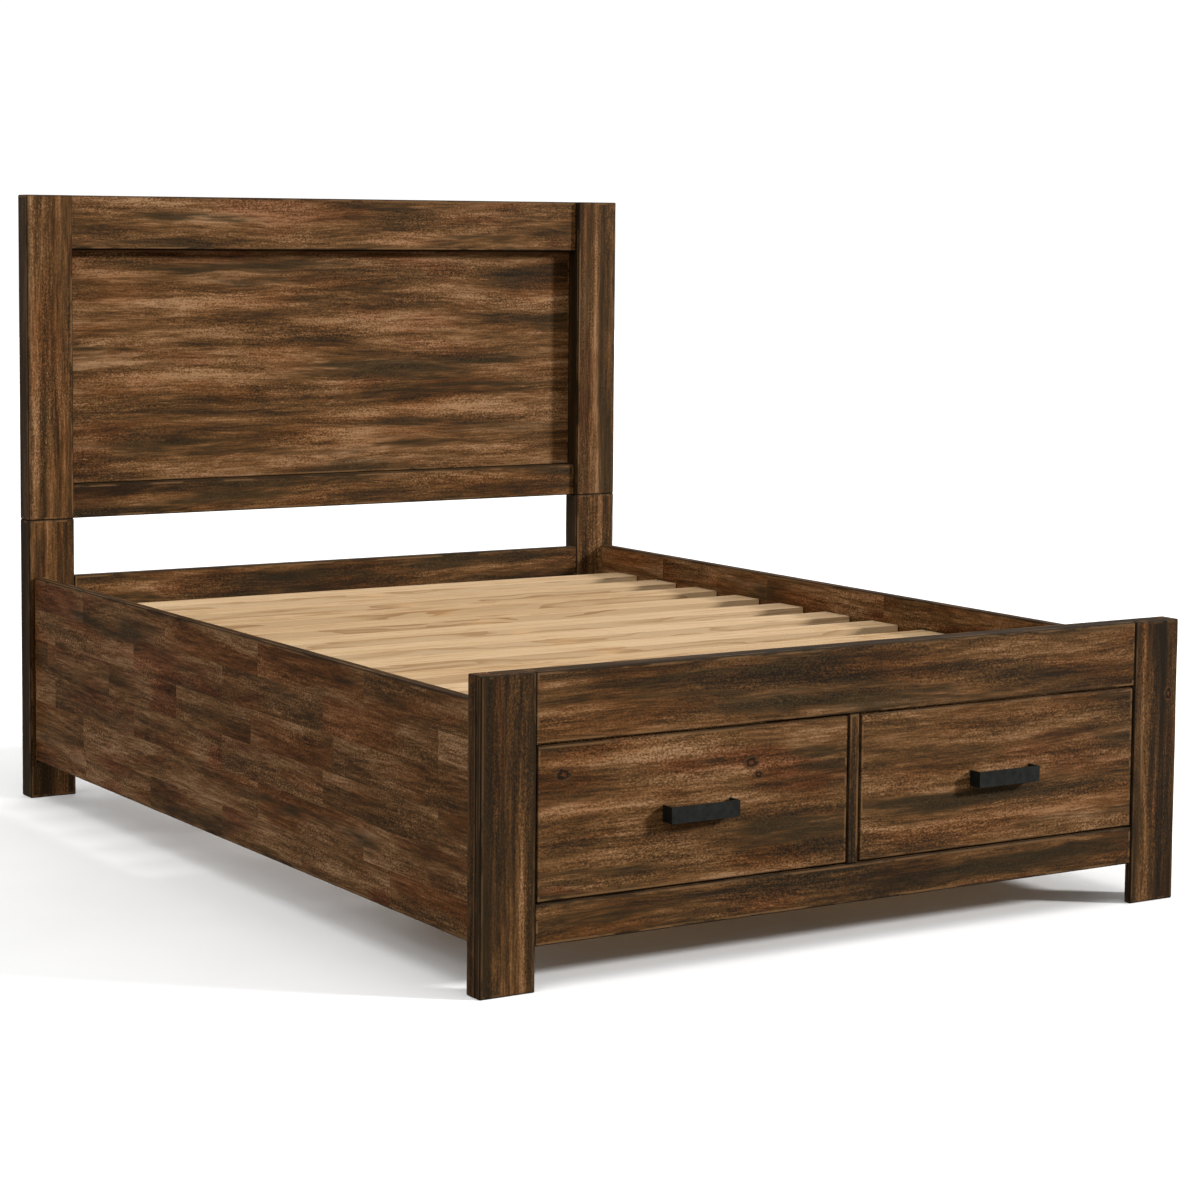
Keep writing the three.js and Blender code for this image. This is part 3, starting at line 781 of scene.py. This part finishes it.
def head_rings(radius, height, kind):
    """Rings of points from the back of a head, over its rim, and down into the recess."""
    outside = [(radius, -HEAD_SINK)] + [(radius * share, rise * height) for share, rise in HEAD_PROFILE]
    rings = [[Vector((math.cos(a) * reach, math.sin(a) * reach, rise)) for a in ANGLES]
             for reach, rise in outside]
    for rise in (height, RECESS_FLOOR * height):
        reaches = [socket_radius(kind, a, RECESS_RADIUS * radius) for a in ANGLES]
        rings.append([Vector((math.cos(a) * reach, math.sin(a) * reach, rise))
                      for a, reach in zip(ANGLES, reaches)])
    return rings


def add_fastener(mesh, place, normal, radius, height, kind):
    """A domed head with a recess, seated on a surface; its back is closed just under it."""
    turn = Vector(normal).to_track_quat("Z", "Y").to_matrix()
    loops = [[mesh.verts.new(Vector(place) + turn @ point) for point in ring]
             for ring in head_rings(radius, height, kind)]
    for lower, upper in zip(loops, loops[1:]):
        for i in range(ROUND_STEPS):
            j = (i + 1) % ROUND_STEPS
            mesh.faces.new((lower[i], lower[j], upper[j], upper[i]))
    mesh.faces.new(list(reversed(loops[0])))
    mesh.faces.new(loops[-1])


def fastener_piece(name, heads, shape, material, body):
    """Many equal heads as one piece; heads are pairs of place and outward direction."""
    mesh = bmesh.new()
    for place, normal in heads:
        add_fastener(mesh, place, normal, **shape)
    data = bpy.data.meshes.new(name)
    mesh.to_mesh(data)
    mesh.free()
    for polygon in data.polygons:
        polygon.use_smooth = len(polygon.vertices) == 4
    add_object(name, data, material, body)


def slat_screws():
    """Two low-headed screws at both ends of every slat."""
    heads = []
    for node in SLATS:
        low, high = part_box(node)
        middle = (low.y + high.y) / 2
        for x in (low.x + SLAT_SCREW_INSET, high.x - SLAT_SCREW_INSET):
            for y in (middle - SLAT_SCREW_SPREAD, middle + SLAT_SCREW_SPREAD):
                heads.append(((x, y, high.z), (0, 0, 1)))
    return heads


def bracket_bolts(end, side):
    """Two bolts in each leaf of a corner bracket, on the side rail and on the leg."""
    low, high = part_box(f"corner_bracket_{end}_{side}")
    inward, (rail, free_x) = (1, (low.x, high.x)) if side == "left" else (-1, (high.x, low.x))
    along, (leg, free_y) = (1, (low.y, high.y)) if end == "foot" else (-1, (high.y, low.y))
    heads = []
    for z in (low.z + BOLT_END_INSET, high.z - BOLT_END_INSET):
        heads.append(((rail + inward * BRACKET_SHEET, free_y - along * RAIL_BOLT_INSET, z), (inward, 0, 0)))
        heads.append(((free_x - inward * LEG_BOLT_INSET, leg + along * BRACKET_SHEET, z), (0, along, 0)))
    return heads


def handle_screws(side):
    """A screw behind each leg of a handle, on the inside of the drawer front."""
    low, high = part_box(f"drawer_handle_{side}")
    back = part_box(f"drawer_front_{side}")[1].y
    middle = (low.z + high.z) / 2
    ends = (low.x + HANDLE_SCREW_INSET, high.x - HANDLE_SCREW_INSET)
    return [((x, back, middle), (0, 1, 0)) for x in ends]


def build_fasteners(zinc):
    fastener_piece("slat_screws", slat_screws(), SLAT_SCREW, zinc, "bed_frame")
    bolts = [head for side in SIDES for end in ("foot", "head") for head in bracket_bolts(end, side)]
    fastener_piece("bracket_bolts", bolts, BRACKET_BOLT, zinc, "bed_frame")
    for side in SIDES:
        fastener_piece(f"handle_screws_{side}", handle_screws(side), HANDLE_SCREW, zinc, f"{side}_drawer")


make_camera()
make_lights()
make_floor()
build_headboard()
build_footboard()
build_sides()
build_deck()
build_case()
build_drawers()
build_metal()
